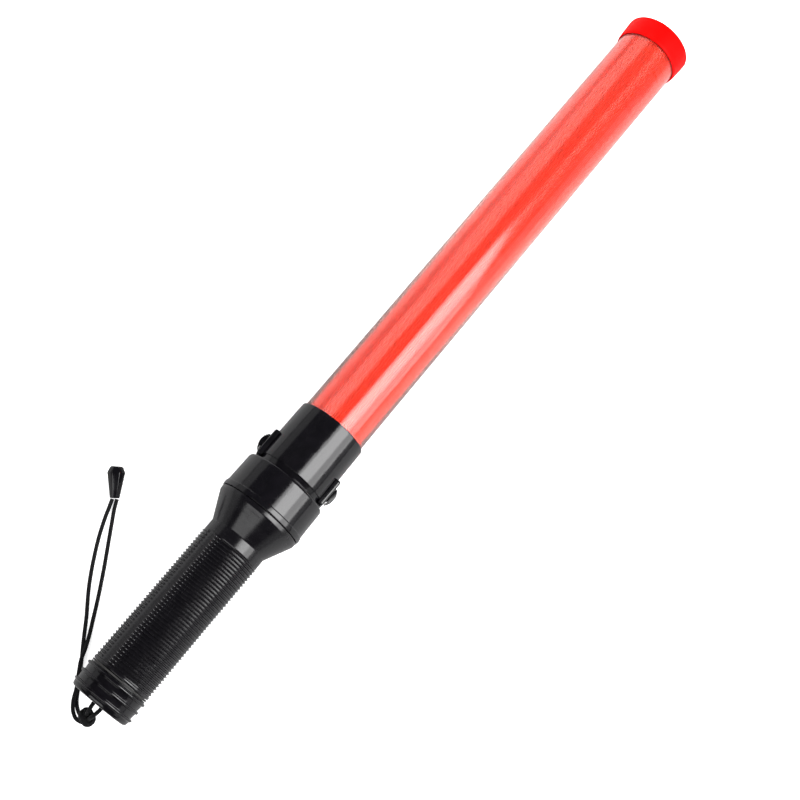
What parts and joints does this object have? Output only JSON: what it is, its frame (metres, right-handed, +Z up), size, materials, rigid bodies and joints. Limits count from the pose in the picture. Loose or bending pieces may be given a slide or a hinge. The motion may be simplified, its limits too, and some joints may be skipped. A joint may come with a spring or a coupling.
{
  "type": "traffic baton light",
  "caption": "Hand-held traffic baton light: battery handle with a screw cap and wrist strap, black lamp head with thumb slide switches, and a long red light tube with a tip cap.",
  "frame": {"origin": "on the floor under the middle of the baton, which lies at rest on its widest edge and the rim of its tip cap; the middle of the bounding box of everything but the strap", "axes": "+X runs from the tail cap to the tip along the floor, under the baton's own axis, which drops 0.68 degrees towards the tip; +Z is up; the strap lies on the +Y side"},
  "size_m": [0.5543, 0.1121, 0.0545],
  "materials": {
    "black_gloss": "gloss",
    "black_satin": "satin",
    "red_tube": "gloss",
    "red_cap": "gloss",
    "red_film": "satin",
    "seal_rubber": "matte",
    "strap_cord": "matte",
    "steel": "satin",
    "brass": "satin",
    "mirror_coat": "polished",
    "cell_jacket": "satin",
    "circuit_board": "satin",
    "red_led": "gloss",
    "red_wire": "satin",
    "black_wire": "satin"
  },
  "bodies": {
    "handle": {"battery_guide": "black_satin", "contact_carrier": "black_satin", "driver_board": "circuit_board", "driver_chip": "black_satin", "front_battery": "cell_jacket", "front_contact": "brass", "ground_strip": "brass", "handle_body": "black_satin", "head_ring": "black_gloss", "lamp_return_lead": "black_wire", "lamp_supply_lead": "red_wire", "led_1": "red_led", "led_2": "red_led", "led_3": "red_led", "led_4": "red_led", "led_5": "red_led", "led_6": "red_led", "led_board": "circuit_board", "light_tube": "red_tube", "mode_switch_body": "steel", "mode_switch_plate": "black_gloss", "mode_switch_screw_1": "steel", "mode_switch_screw_2": "steel", "power_switch_body": "steel", "power_switch_plate": "black_gloss", "power_switch_screw_1": "steel", "power_switch_screw_2": "steel", "prism_film": "red_film", "rear_battery": "cell_jacket", "reflector": "mirror_coat", "return_lead": "black_wire", "supply_lead": "red_wire", "tip_cap": "red_cap", "tip_reflector": "mirror_coat", "tube_collar": "black_gloss"},
    "tail_follower": {"tail_spring": "steel", "spring_plate": "steel"},
    "tail_cap": {"tail_cap": "black_gloss", "tail_seal": "seal_rubber", "strap_strand_lower": "strap_cord", "strap_strand_upper": "strap_cord", "strap_bight": "strap_cord", "strap_knot": "strap_cord", "strap_toggle": "black_gloss"},
    "power_slider": {"power_switch_slider": "black_satin"},
    "mode_slider": {"mode_switch_slider": "black_satin"}
  },
  "joints": [
    {"name": "power_slide", "type": "slide", "parent": "handle", "child": "power_slider", "axis": [0.9999, 0, -0.0119], "range_m": [0, 0.003]},
    {"name": "mode_slide", "type": "slide", "parent": "handle", "child": "mode_slider", "axis": [0.9999, 0, -0.0119], "range_m": [0, 0.003]},
    {"name": "tail_cap_back", "type": "slide", "parent": "handle", "child": "tail_follower", "axis": [-0.9999, 0, 0.0119], "range_m": [0, 0.00901]},
    {"name": "tail_cap_turn", "type": "hinge", "parent": "tail_follower", "child": "tail_cap", "pos_m": [-0.26166, 0, 0.02881], "axis": [-0.9999, 0, 0.0119], "range_deg": [0, 1080]}
  ],
  "couplings": [
    {"joint": "tail_cap_back", "follows": "tail_cap_turn", "m_per_rad": 0.00047746}
  ]
}
